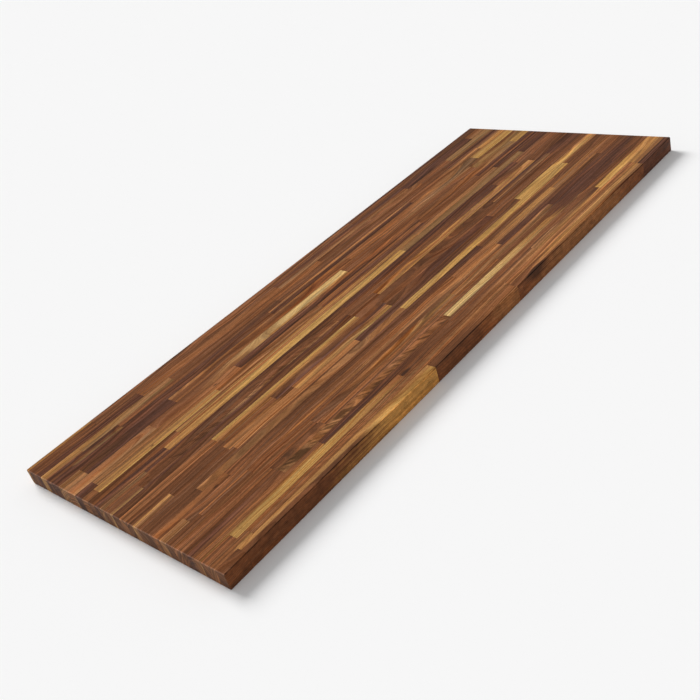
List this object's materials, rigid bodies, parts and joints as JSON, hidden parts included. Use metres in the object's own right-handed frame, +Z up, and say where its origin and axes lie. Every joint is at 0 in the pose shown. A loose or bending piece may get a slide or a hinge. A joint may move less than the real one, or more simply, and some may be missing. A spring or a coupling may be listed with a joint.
{
  "type": "butcher block countertop",
  "caption": "Walnut butcher block countertop: a flat slab edge-glued from random-length staves, with light sapwood strips and eased edges.",
  "frame": {"origin": "middle of the underside, at the bottom centre of the slab's bounding box", "axes": "X along the grain from the near end (-X) to the far end (+X), Y across the rows, Z up out of the worktop face"},
  "size_m": [1.651, 0.635, 0.038],
  "materials": {
    "walnut": "oiled satin, sanded smooth"
  },
  "bodies": {
    "root": {"stave_row_01": "walnut", "stave_row_02": "walnut", "stave_row_03": "walnut", "stave_row_04": "walnut", "stave_row_05": "walnut", "stave_row_06": "walnut", "stave_row_07": "walnut", "stave_row_08": "walnut", "stave_row_09": "walnut", "stave_row_10": "walnut", "stave_row_11": "walnut", "stave_row_12": "walnut", "stave_row_13": "walnut", "stave_row_14": "walnut", "stave_row_15": "walnut", "stave_row_16": "walnut", "stave_row_17": "walnut", "stave_row_18": "walnut", "stave_row_19": "walnut", "stave_row_20": "walnut", "stave_row_21": "walnut", "stave_row_22": "walnut", "stave_row_23": "walnut", "stave_row_24": "walnut", "stave_row_25": "walnut", "stave_row_26": "walnut", "stave_row_27": "walnut", "stave_row_28": "walnut", "stave_row_29": "walnut"}
  },
  "joints": []
}
